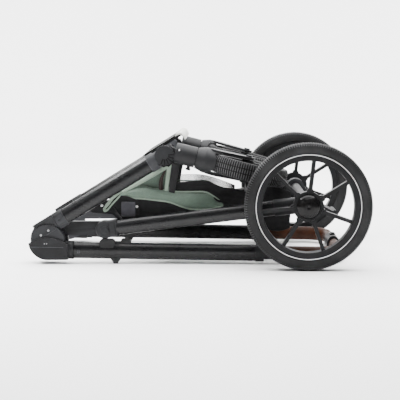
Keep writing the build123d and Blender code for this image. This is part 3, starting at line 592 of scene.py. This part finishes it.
class CHASSIS_OT_basket(bpy.types.Operator):
    """Sews the folded shopping basket from its panels, gussets, nets and tapes"""
    bl_idname = "chassis.basket"
    bl_label = "Shopping basket"

    def execute(self, context):
        kit = looks()
        rim = [(-189, 171, 152), (-160, 180, 153), (-136, 184, 154), (-108, 178, 155), (-55, 171, 155),
               (-15, 170.5, 155), (17, 170, 154), (38, 160, 153), (62, 143, 150)]
        hem = [(-192, 160, 163), (-160, 158.5, 165), (-131, 157, 166), (-100, 153.5, 167), (-69, 149, 168),
               (-40, 138, 167), (-15, 132, 165), (23, 132.5, 160), (62, 139, 152)]
        black_low = [(-194, 100, 152), (-160, 101, 154), (-131, 103, 155), (-100, 106, 156), (-69, 110, 156),
                     (-40, 114, 156), (-15, 118, 155), (23, 122, 153), (62, 128, 150)]
        fold_top = [(-58, 194, 146), (-20, 197, 148), (20, 197, 148), (60, 184, 148), (95, 177, 147),
                    (121, 171, 144)]
        fold_low = [(-58, 150, 148), (-20, 146, 150), (20, 141, 150), (60, 133, 152), (95, 136, 150),
                    (121, 141, 146)]
        net_top = [(-66, 189, 150), (-16, 190, 150), (15, 187, 150), (46, 178, 149), (92, 161, 147)]
        net_low = [(-66, 150, 152), (-16, 150, 153), (15, 148, 153), (46, 145, 152), (92, 144, 150)]
        gusset_top = [(-66, 247, 160), (-104, 224, 160), (-131, 208, 160), (-160, 190, 159), (-190, 172, 156)]
        gusset_low = [(-74, 166, 151), (-104, 172, 151), (-131, 180, 151), (-160, 178, 152), (-188, 168, 152)]
        bind_low = [(-68, 233, 162), (-106, 210, 162.5), (-133, 195, 162), (-161, 180, 161), (-191, 166, 158)]
        pouch_top = [(119, 176, 147), (150, 184, 150), (190, 184, 152), (228, 172, 150)]
        pouch_low = [(121, 128, 148), (150, 92, 146), (190, 74, 144), (226, 82, 146)]
        for side, out in SIDES:
            panel = patch(flip(rim, out), flip(hem, out), 90, 22, (0, out * 7, 2), 3.4, (11, 9, 40), 3 + out)
            cloth("basket_side_" + side, panel, kit["sage"])
            lower = patch(flip(hem, out), flip(black_low, out), 60, 12, (0, out * 3, 0), 2.2, (13, 9, 30), 9)
            cloth("basket_underside_" + side, lower, kit["black_cloth"])
            if side == "right":
                folded = patch(flip(fold_top, out), flip(fold_low, out), 80, 26, (0, out * 4, 0), 5,
                               (9, 9, 42), 5)
                cloth("basket_fold", folded, kit["black_cloth"], held="folded")
            else:
                self.netting("basket_net", flip(net_top, out), flip(net_low, out), kit["net"])
            # Gussets take the darker sage: painted shade on the inner faces.
            gusset = patch(flip(gusset_top, out), flip(gusset_low, out), 60, 24, (0, -out * 5, 0), 3.4,
                           (38, 9, 10), 7)
            cloth("basket_gusset_" + side, gusset, kit["sage_deep"])
            band = patch(flip(gusset_top, out), flip(bind_low, out), 60, 4, (0, out * 1.5, 0), 0.8,
                         (16, 9, 16), 2)
            cloth("gusset_binding_" + side, band, kit["binding"], 2.4)
            self.rim_tape("rim_binding_" + side, flip(rim, out), (0, out * 1.6, 3.2), kit["binding"])
            self.rim_tape("hem_binding_" + side, flip(hem, out), (0, out * 1.2, -3.4), kit["binding"])
            self.strips(side, out, kit)
            self.tail(side, out, kit)
        for side, out in SIDES:
            drop = patch(flip(pouch_top, out), flip(pouch_low, out), 50, 30, (0, out * 5, 0), 5,
                         (10, 9, 22), 21 + out)
            cloth("rear_pouch_" + side, drop, kit["black_cloth"], body="rear_frame")
        trough = patch(flip(pouch_low, 1), flip(pouch_low, -1), 36, 60, (0, 0, -7), 5, (12, 12, 12), 23)
        cloth("rear_pouch_floor", trough, kit["black_cloth"], body="rear_frame")
        # The floor takes the darker sage: painted shade under the basket.
        floor = patch(flip(hem, 1), flip(hem, -1), 70, 60, (0, 0, -16), 4, (12, 12, 12), 11)
        ground = cloth("basket_floor", floor, kit["sage_deep"])
        rear = patch(flip(fold_low, 1), flip(fold_low, -1), 40, 60, (0, 0, -8), 6, (14, 10, 14), 13)
        cloth("basket_rear_fold", rear, kit["black_cloth"], held="folded")
        back = patch([(120, 144, 171), (120, 70, 166), (121, 0, 163), (120, -70, 166), (120, -144, 171)],
                     [(119, 146, 141), (118, 70, 137), (118, 0, 135), (118, -70, 137), (119, -146, 141)],
                     60, 8, (3, 0, 0), 3, (9, 14, 30), 17)
        cloth("basket_back", back, kit["black_cloth"])
        front = patch([(-189, 152, 171), (-192, 76, 167), (-193, 0, 165), (-192, -76, 167),
                       (-189, -152, 171)],
                      [(-193, 158, 158), (-190, 76, 142), (-188, 0, 137), (-190, -76, 142),
                       (-193, -158, 158)],
                      60, 8, (-3, 0, 0), 2.5, (9, 14, 30), 19)
        cloth("basket_front", front, kit["sage"])
        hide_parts("basket")
        return {"FINISHED"}

    def rim_tape(self, name, line, across, look):
        """Edge tape folded over a panel's edge."""
        low = [tuple(a + b for a, b in zip(point, across)) for point in line]
        cloth(name, patch(line, low, 90, 3, tuple(a * 0.3 for a in across)), look, BINDING_WALL)

    def strips(self, side, out, kit):
        """Zip, light tape and black strap of the gusset, webbing tab and snaps."""
        def strip(name, one, other, look, thick, puff=1.0, rows=4):
            cloth(name + "_" + side, patch(flip(one, out), flip(other, out), 40, rows, (0, out * puff, 0)),
                  look, thick)
        strip("gusset_tape", [(-63, 245, 164), (-67, 222, 163), (-70, 200, 162), (-74, 170, 158)],
              [(-74, 240, 164), (-77, 222, 163), (-80, 200, 162), (-83, 170, 158)], kit["binding"], 2.2)
        strip("black_strap", [(-43, 248, 165), (-47, 222, 164), (-52, 198, 163), (-57, 168, 160)],
              [(-63, 248, 165), (-66, 222, 164), (-69, 198, 163), (-72, 168, 160)], kit["webbing"], 1.8)
        strip("zip_tape", [(-77, 226, 163), (-83, 212, 163), (-86, 196, 161), (-86, 174, 158)],
              [(-84, 222, 163), (-92, 208, 163), (-96, 194, 161), (-96, 176, 158)], kit["zip"], 1.4)
        strip("zip_teeth", [(-80, 224.5, 164.2), (-87, 210.5, 164.2), (-90.5, 195, 162.4),
                            (-90.5, 175, 159.2)],
              [(-82, 223.5, 164.2), (-89.5, 209.5, 164.2), (-93, 195, 162.4), (-93, 175, 159.2)],
              kit["zip_teeth"], 1.6)
        strip("webbing_tab", [(-187, 149, 172), (-176, 149.5, 173), (-165, 149, 173), (-153, 148.5, 172)],
              [(-187, 113, 173), (-176, 112.5, 174), (-165, 112.5, 174), (-153, 113, 173)],
              kit["webbing_grey"], 2.2)
        strip("snap_band", [(-264, 143, 165), (-225, 152, 168), (-185, 164, 166), (-144, 152, 169)],
              [(-262, 121, 165), (-225, 118, 168), (-185, 116, 168), (-144, 118, 168)], kit["black_cloth"],
              1.6)
        for number, (x, z, y) in enumerate(((-235, 139, 168.6), (-149, 137, 171.2))):
            bm = bmesh.new()
            spun(bm, [(0.0, 0.0019), (0.0012, 0.0018), (0.0021, 0.0013), (0.0024, 0.0015), (0.0031, 0.0012),
                      (0.0034, 0.0005), (0.0034, 0.0)], 28)
            bmesh.ops.holes_fill(bm, edges=[e for e in bm.edges if e.is_boundary])
            bm.transform(facing((x, y, z), out))
            snap = made(f"snap_{number}_{side}", bm, kit["steel"])
            fit(snap, "front_frame")

    def netting(self, name, one, other, look):
        """Diamond net as real strands."""
        bm = patch(one, other, 60, 11, (0, 0, 0), 1.6, (14, 9, 30), 4)
        old = list(bm.edges)
        bmesh.ops.poke(bm, faces=bm.faces)
        bmesh.ops.dissolve_edges(bm, edges=[e for e in old if e.is_valid and not e.is_boundary])
        piece = made(name, bm, look, crease=0, recalc=False)
        modifier(piece, "WIREFRAME", thickness=0.0016, use_even_offset=False, use_boundary=True)
        fit(piece, "front_frame")

    def tail(self, side, out, kit):
        """The bound tail of the side panel, doubled back on itself."""
        upper = [(-184, 179, 169), (-204, 166, 172), (-221, 148, 173.5), (-232.5, 131, 173)]
        upper_low = [(-187, 170, 169), (-205, 156, 172), (-217, 141, 173.5), (-226.5, 130, 173)]
        lower = [(-232.5, 131, 173), (-230, 124.5, 173.5), (-221, 126, 173.5), (-209, 141, 173),
                 (-190, 161, 168)]
        lower_low = [(-227.5, 131, 171), (-225.5, 129, 171.5), (-220, 132, 171.5), (-207, 147, 171),
                     (-188, 168, 167)]
        for name, one, other in (("tail_upper", upper, upper_low), ("tail_lower", lower, lower_low)):
            bm = patch(flip(one, out), flip(other, out), 40, 5, (0, out * 1.2, 0), 0.6, (20, 20, 20), 6)
            cloth(f"{name}_{side}", bm, kit["binding"], BINDING_WALL)
        tail = patch([(x, out * (y - 2), z) for x, z, y in upper_low],
                     [(x, out * (y - 4), z) for x, z, y in lower_low], 40, 6, (0, -out * 2, 0), 1,
                     (14, 14, 14), 8)
        cloth("tail_inside_" + side, tail, kit["black_cloth"])


# Handle grips, boots and pad
HANDLE_SLOPE = radians(-0.72)
handle_low, handle_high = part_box("handle_tube")


def handle_point(x, y):
    """A point of the handle's centre line, in metres."""
    return Vector((x, y, handle_low.z + 0.015 + sin(HANDLE_SLOPE) * (x - handle_high.x + 0.01)))


class CHASSIS_OT_grips(bpy.types.Operator):
    """Wraps the handle in stitched leatherette"""
    bl_idname = "chassis.grips"
    bl_label = "Handle grips"

    def execute(self, context):
        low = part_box("handle_grips")[0]
        sizes = settings("grips")
        wide, tall = 0.013, 0.018
        start, end, side_y = low.x, handle_high.x - 0.01, 0.19
        corner = sizes.corner
        for side, out in SIDES:
            line = [(start, side_y)]
            straight = end - corner - start
            line += [(start + straight * k / 22, side_y) for k in range(1, 23)]
            line += [(end - corner + corner * sin(a), side_y - corner + corner * cos(a))
                     for a in (pi / 2 * k / 16 for k in range(1, 17))]
            line += [(end, (side_y - corner) + (0.0405 - side_y + corner) * k / 18) for k in range(1, 19)]
            bm = bmesh.new()
            rings, travelled = [], [0.0]
            for (x0, y0), (x1, y1) in zip(line, line[1:]):
                travelled.append(travelled[-1] + ((x1 - x0) ** 2 + (y1 - y0) ** 2) ** 0.5)
            total = travelled[-1]
            for index, (x, y) in enumerate(line):
                before, after = line[max(0, index - 1)], line[min(len(line) - 1, index + 1)]
                way = Vector((after[0] - before[0], after[1] - before[1], 0)).normalized()
                across = Vector((way.y, -way.x, 0))
                s = travelled[index]
                end_round = min(1, min(s, total - s) / 0.0045) ** 0.5
                puff = 1 + 0.012 * noise.noise((s * 40, out, 3))
                ring = bmesh.ops.create_circle(bm, cap_ends=False, segments=40, radius=1)["verts"]
                for vert in ring:
                    turn = atan2(vert.co.y, vert.co.x)
                    seam = 0.0011 * max(0, 1 - abs(abs(turn) - pi) / 0.13)
                    reach = (0.86 + 0.14 * end_round) * puff - seam / 0.014
                    rise = sin(turn) * tall * reach
                    spot = handle_point(x, y) + across * (cos(turn) * wide * reach) + Vector((0, 0, rise))
                    vert.co = Vector((spot.x, out * spot.y, spot.z))
                rings.append(ring)
            for one, other in zip(rings, rings[1:]):
                loops = [e for ring in (one, other) for e in {edge for v in ring for edge in v.link_edges}
                         if all(v in ring for v in e.verts)]
                bmesh.ops.bridge_loops(bm, edges=list(dict.fromkeys(loops)))
            for ring in (rings[0], rings[-1]):
                bmesh.ops.contextual_create(bm, geom=ring)
            bmesh.ops.recalc_face_normals(bm, faces=bm.faces)
            piece = made("leather_grip_" + side, bm, looks()["leather"], crease=50)
            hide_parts("handle_grips")
            fit(piece, "handle")
            self.stitches(side, out, line, travelled, wide, tall)
        return {"FINISHED"}

    def stitches(self, side, out, line, travelled, wide, tall):
        """Two rows of saddle stitches beside the seam on the inner face of the grip."""
        bm = bmesh.new()
        pitch = settings("grips").stitch
        count = int((travelled[-1] - 0.012) / pitch)
        for number in range(count):
            s = 0.006 + number * pitch
            index = max(k for k in range(len(travelled) - 1) if travelled[k] <= s)
            f = (s - travelled[index]) / (travelled[index + 1] - travelled[index])
            (x0, y0), (x1, y1) = line[index], line[index + 1]
            way = Vector((x1 - x0, y1 - y0, 0)).normalized()
            across = Vector((way.y, -way.x, 0))
            for row in (-0.2, 0.2):
                turn = pi + row
                spot = handle_point(x0 + (x1 - x0) * f, y0 + (y1 - y0) * f)
                spot += across * (cos(turn) * wide * 1.01) + Vector((0, 0, sin(turn) * tall * 1.01))
                bar = bmesh.ops.create_cube(bm, size=1)["verts"]
                bmesh.ops.scale(bm, verts=bar, vec=(pitch * 0.62, 0.0007, 0.0007))
                turn_way = Matrix.Rotation(atan2(out * way.y, way.x) + row * 0.5, 4, "Z")
                bmesh.ops.transform(bm, matrix=Matrix.Translation((spot.x, out * spot.y, spot.z)) @ turn_way,
                                    verts=bar)
        thread = made("grip_stitches_" + side, bm, looks()["thread"])
        fit(thread, "handle")


class CHASSIS_OT_boots(bpy.types.Operator):
    """Moulds the ribbed boots between the front elbows and the caster housings"""
    bl_idname = "chassis.boots"
    bl_label = "Caster boots"

    def execute(self, context):
        for side, out in SIDES:
            pivot = Vector(joints["suspension_" + side]["pos_m"])
            ribs = settings("boots").ribs
            bm = bmesh.new()
            first, last = radians(-122), radians(62)
            profile = []
            steps = ribs * 8
            for k in range(steps + 1):
                a = first + (last - first) * k / steps
                wave = 0.5 + 0.5 * cos(2 * pi * k / 8)
                profile.append((a, 0.0255 + 0.0022 * wave ** 1.5))
            half = 0.0178
            rows = []
            for depth, shrink in ((-half, 0.0), (-half * 0.94, 0.0012), (-half * 0.5, 0.0022), (0, 0.0025),
                                  (half * 0.5, 0.0022), (half * 0.94, 0.0012), (half, 0.0)):
                row = [bm.verts.new(pivot + Vector((cos(a) * (r + shrink), depth, sin(a) * (r + shrink))))
                       for a, r in profile]
                for pair in zip(row, row[1:]):
                    bm.edges.new(pair)
                rows.append(row)
            for one, other in zip(rows, rows[1:]):
                edges = [bm.edges.get(pair) for row in (one, other) for pair in zip(row, row[1:])]
                bmesh.ops.bridge_loops(bm, edges=edges)
            bmesh.ops.recalc_face_normals(bm, faces=bm.faces)
            piece = made("ribbed_boot_" + side, bm, looks()["rubber"], crease=0, recalc=False)
            modifier(piece, "SOLIDIFY", thickness=0.004, offset=-1)
            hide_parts("caster_boot_" + side)
            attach(piece, "front_frame")
            self.elbow_cover(side, out, pivot)
        return {"FINISHED"}

    def elbow_cover(self, side, out, pivot):
        """A round cover on the elbow's outer cheek, with the boot's folds shown as dark bars of painted shade."""
        turned = Matrix.Translation(pivot) @ Matrix.Rotation(-out * pi / 2, 4, "X")
        bm = bmesh.new()
        edge, face = ELBOW_COVER_RADIUS, ELBOW_COVER_FACE
        spun(bm, [(0.0, face), (edge - 0.0008, face), (edge, face - 0.0008), (edge, face - 0.0032),
                  (0.0, face - 0.0032)], 64)
        bm.transform(turned)
        cover = made("elbow_cover_" + side, bm, looks()["casting"])
        fit(cover, "front_frame")
        bm = bmesh.new()
        folds = settings("boots").folds
        for k in range(folds):
            a = radians(-112 + 118 * k / (folds - 1))
            bar = bmesh.ops.create_cube(bm, size=1)["verts"]
            bmesh.ops.scale(bm, verts=bar, vec=(0.0135, 0.0016, 0.0032))
            place = pivot + Vector((cos(a) * 0.0158, out * 0.0195, sin(a) * 0.0158))
            bmesh.ops.transform(bm, verts=bar, matrix=Matrix.Translation(place) @ Matrix.Rotation(-a, 4, "Y"))
        rounded(bm, list(bm.edges), 0.0005)
        # Dark bars in the darkest rubber: painted shade in the boot's folds.
        slots = made("elbow_fold_shade_" + side, bm, looks()["groove"])
        fit(slots, "front_frame")


class CHASSIS_OT_board_pad(bpy.types.Operator):
    """Lays the ridged pad and its pale nose on the footboard"""
    bl_idname = "chassis.board_pad"
    bl_label = "Footboard pad"

    def execute(self, context):
        low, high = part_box("footboard_pad")
        tilt = radians(settings("pad").tilt)
        way = Vector((cos(tilt), 0, sin(tilt)))
        up = Vector((-sin(tilt), 0, cos(tilt)))
        deep = (high.x - low.x) / cos(tilt)
        start = Vector((low.x, 0, low.z))
        half = high.y - 0.001
        ridges = settings("pad").ridges
        bm = bmesh.new()
        line = [(0.001, 0.0), (0.0005, 0.0022), (0.002, 0.0031)]
        for k in range(ridges):
            a = 0.006 + (deep - 0.024) * k / ridges
            b = (deep - 0.024) / ridges
            line += [(a, 0.0024), (a + b * 0.2, 0.0034), (a + b * 0.6, 0.0034), (a + b * 0.8, 0.0024)]
        line += [(deep - 0.016, 0.0034), (deep - 0.012, 0.0034), (deep - 0.011, 0.0)]
        extruded(bm, [start + way * a + up * b + Vector((0, -half, 0)) for a, b in line], 2 * half)
        pad = made("ridged_pad", bm, looks()["pad_dark"])
        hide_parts("footboard_pad")
        fit(pad, "front_frame")
        bm = bmesh.new()
        nose = [(deep - 0.0105, 0.0012), (deep - 0.009, 0.0046), (deep - 0.003, 0.0056),
                (deep + 0.002, 0.0048),
                (deep + 0.0062, 0.0012), (deep + 0.008, -0.005), (deep + 0.0078, -0.012),
                (deep + 0.0062, -0.0185),
                (deep + 0.0048, -0.0187), (deep + 0.0052, -0.012), (deep + 0.0045, -0.006),
                (deep + 0.002, -0.0025),
                (deep - 0.003, -0.0002)]
        lip = 0.002
        extruded(bm, [start + way * a + up * b + Vector((0, -half - lip, 0)) for a, b in nose],
                 2 * (half + lip))
        rounded(bm, [e for e in bm.edges if abs(e.verts[0].co.y - e.verts[1].co.y) < 1e-6], 0.0012, 3)
        trim = made("board_nose", bm, looks()["pad"], crease=60)
        fit(trim, "front_frame")
        return {"FINISHED"}


# Small hardware
class CHASSIS_OT_hardware(bpy.types.Operator):
    """Adds screws, slots, seams and beads to the hinges, caps and casters; the cover beads and leg lines carry a
    painted highlight, the cap slots painted shade.
    """
    bl_idname = "chassis.hardware"
    bl_label = "Screws and seams"

    def execute(self, context):
        kit = looks()
        for side, out in SIDES:
            for name, place, radius, look, body in (
                    ("leg_screw_", (-335.5, 205.2, 107.5), 3.4, "casting", "front_frame"),
                    ("housing_screw_", (-43.5, 214.6, 277.5), 1.9, "steel", "suspension_" + side),
                    ("hinge_screw_", (-371, 209.6, 50), 1.5, "screw", "handlebar"),
                    ("hinge_screw_low_", (-365.5, 209.6, 50), 1.5, "screw", "handlebar")):
                self.screw(name + side, place, radius, out, kit[look], body)
            for name, rows, look in (
                    # The cover bead is a raised line; its lighter casting colour is a painted highlight along the
                    # cover's step.
                    ("cover_bead_highlight_", [(-367, 210.0, 41.5, 84, 0.9, 1.0, 0.72)], "elbow"),
                    ("tube_seam_", [(-302.2, 190, 32.6, 1.1, 41.6, 28.4, 0.72)], "groove"),
                    ("tube_slots_", [(x, 203.1, 30, 1.5, 9, 1.2, 0.72) for x in (-292, -288)], "elbow")):
                self.bars(name + side, rows, out, kit[look], "handlebar")
            self.collar(side)
            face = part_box("rear_leg_caps")[1].y * 1000
            # Dark bars on the rear cap: painted shade of its recessed slot.
            self.bars("cap_slot_" + side, [(-224, face + 2.6, 84.5, 19, 2.2, 1.2, -7.7),
                    (-214, face + 0.3, 84.5, 1.2, 30, 1, -7.7),
                                           (-200, face + 0.3, 87, 1.2, 30, 1, -7.7)], out, kit["groove"],
                                           "rear_frame")
            # A thin line of the lighter casting along the leg: painted highlight.
            self.bars("leg_highlight_line_" + side, [(-355, 203.4, 77.5, 27, 0.9, 0.9, -31.6)], out, kit["elbow"],
                      "front_frame")
        return {"FINISHED"}

    def collar(self, side):
        """The bearing collar seen in the gap of a caster's swivel; its near-black colour is painted shade of the
        gap.
        """
        joint = joints["swivel_" + side]
        axis = Vector(joint["axis"]).normalized()
        if axis.x < 0:
            axis = -axis
        bm = bmesh.new()
        edge, half, bevel = COLLAR_RADIUS, COLLAR_HALF, 0.0007
        spun(bm, [(0.0, -half), (edge - bevel, -half), (edge, bevel - half), (edge, half - bevel),
                  (edge - bevel, half), (0.0, half)], 48)
        middle = Vector(joint["pos_m"]) + axis * COLLAR_FROM_PIVOT
        bm.transform(Matrix.Translation(middle) @ axis.to_track_quat("Z", "Y").to_matrix().to_4x4())
        # Near-black colour: painted shade in the swivel's gap.
        piece = made("swivel_collar_" + side, bm, looks()["groove"])
        fit(piece, "suspension_" + side)

    def screw(self, name, place, radius, out, look, body):
        """A socket screw, facing outwards; sizes in millimetres."""
        r = radius / 1000
        bm = bmesh.new()
        spun(bm, [(0.0, 0.0), (r * 0.42, 0.0), (r * 0.46, 0.0005), (r * 0.8, 0.0009), (r, 0.0004),
                  (r, -0.002)], 32)
        bmesh.ops.holes_fill(bm, edges=[e for e in bm.edges if e.is_boundary])
        bm.transform(facing(place, out))
        piece = made(name, bm, look)
        fit(piece, body)

    def bars(self, name, rows, out, look, body):
        """Thin moulded lines: x, y, z, length, height, depth in millimetres and slope in degrees."""
        bm = bmesh.new()
        for x, y, z, long, tall, deep, slope in rows:
            verts = bmesh.ops.create_cube(bm, size=0.001)["verts"]
            bmesh.ops.scale(bm, verts=verts, vec=(long, deep, tall))
            place = Matrix.Translation((x / 1000, out * y / 1000, z / 1000))
            bmesh.ops.transform(bm, verts=verts, matrix=place @ Matrix.Rotation(radians(slope), 4, "Y"))
        rounded(bm, list(bm.edges), 0.0003)
        piece = made(name, bm, look)
        fit(piece, body)


# Studio
class CHASSIS_OT_studio(bpy.types.Operator):
    """Lays the pale floor, the soft lights and the camera"""
    bl_idname = "chassis.studio"
    bl_label = "Studio"

    def execute(self, context):
        studio = settings("studio")
        look = Finish("studio_paper", Specular_IOR_Level=0.2)
        look.colour(look.blend(look.ramp(look.noise(3, 2), 0, 1), shade(studio.floor, 0.99), studio.floor))
        look.rough(look.ramp(look.noise(40, 2), 0.75, 0.85))
        bm = bmesh.new()
        front = bm.verts.new((-FLOOR_HALF, -FLOOR_HALF, FLOOR_LEVEL))
        back = bm.verts.new((-FLOOR_HALF, BACKDROP_FROM, FLOOR_LEVEL))
        bm.edges.new((front, back))
        bmesh.ops.spin(bm, geom=[back], cent=(-FLOOR_HALF, BACKDROP_FROM, BACKDROP_FROM), axis=(1, 0, 0),
                       dvec=(0, 0, 0), angle=pi / 2, steps=24,
                       use_merge=False, use_duplicate=False)
        rows = list(bm.edges)
        swept = bmesh.ops.extrude_edge_only(bm, edges=rows)["geom"]
        bmesh.ops.translate(bm, verts=[v for v in swept if isinstance(v, bmesh.types.BMVert)],
                            vec=(2 * FLOOR_HALF, 0, 0))
        paper = made("studio_floor", bm, look.material, crease=0)

        world = bpy.data.worlds.new("studio_light")
        world.use_nodes = True
        world.node_tree.nodes["Background"].inputs["Color"].default_value = (1, 1, 1, 1)
        world.node_tree.nodes["Background"].inputs["Strength"].default_value = 0.16
        context.scene.world = world
        low, high = cad_box
        middle = (low + high) / 2
        lamps = (
                ("overhead", (0.0, 0.1, 2.1), 3.4, 2.6, 330), ("key", (-1.6, -2.3, 1.7), 0.9, 0.9, 8),
                ("front", (0.4, -2.2, 2.8), 2.6, 0.7, 30), ("streak", (-1.15, -0.1, 1.5), 1.5, 0.14, 34),
                ("rim", (0.3, 2.4, 1.6), 3.0, 0.9, 60))
        for name, place, width, depth, power in lamps:
            self.lamp(name, place, width, power, middle, shape="RECTANGLE", size_y=depth)
        for x in (-2.2, 2.2):
            self.lamp("backdrop", (x, 2.6, 2.6), 2.0, 420, Vector((0, 6, 1.2)))

        data = bpy.data.cameras.new("camera")
        data.lens, data.sensor_width = studio.focal, 36
        camera = bpy.data.objects.new("camera", data)
        camera.location = (0.068, -studio.distance, studio.height)
        aim = Vector((-sin(radians(1.31)) * cos(radians(5.95)), cos(radians(1.31)) * cos(radians(5.95)),
                      -sin(radians(5.95))))
        camera.rotation_euler = aim.to_track_quat("-Z", "Y").to_euler()
        context.scene.collection.objects.link(camera)
        context.scene.camera = camera
        return {"FINISHED"}

    def lamp(self, name, place, size, power, target, **shape):
        """A soft area lamp turned to its target."""
        data = bpy.data.lights.new(name, "AREA")
        data.size, data.energy = size, power
        for key, value in shape.items():
            setattr(data, key, value)
        lamp = bpy.data.objects.new(name, data)
        lamp.location = place
        lamp.rotation_euler = (target - lamp.location).to_track_quat("-Z", "Y").to_euler()
        bpy.context.scene.collection.objects.link(lamp)


class CHASSIS_PT_panel(bpy.types.Panel):
    bl_label = "Stroller chassis"
    bl_idname = "CHASSIS_PT_panel"
    bl_space_type = "VIEW_3D"
    bl_region_type = "UI"
    bl_category = "Chassis"

    def draw(self, context):
        for operator in OPERATORS:
            self.layout.operator(operator.bl_idname)
        for group in GROUPS:
            values = settings(group)
            box = self.layout.box()
            for field in values.__annotations__:
                box.prop(values, field)


GROUPS = {"finish": FinishSettings, "wheels": WheelSettings, "grips": GripSettings, "boots": BootSettings,
          "pad": PadSettings, "studio": StudioSettings}
OPERATORS = (CHASSIS_OT_finishes, CHASSIS_OT_rear_tyres, CHASSIS_OT_front_tyres, CHASSIS_OT_grips,
             CHASSIS_OT_boots, CHASSIS_OT_board_pad, CHASSIS_OT_basket, CHASSIS_OT_hardware,
             CHASSIS_OT_studio)


def register():
    for name, group in GROUPS.items():
        bpy.utils.register_class(group)
        setattr(bpy.types.Scene, "chassis_" + name, PointerProperty(type=group))
    for part in (*OPERATORS, CHASSIS_PT_panel):
        bpy.utils.register_class(part)


def unregister():
    for part in (CHASSIS_PT_panel, *reversed(OPERATORS)):
        bpy.utils.unregister_class(part)
    for name, group in GROUPS.items():
        delattr(bpy.types.Scene, "chassis_" + name)
        bpy.utils.unregister_class(group)


def main():
    register()
    for operator in OPERATORS:
        area, name = operator.bl_idname.split(".")
        getattr(getattr(bpy.ops, area), name)()


if __name__ == "__main__":
    main()
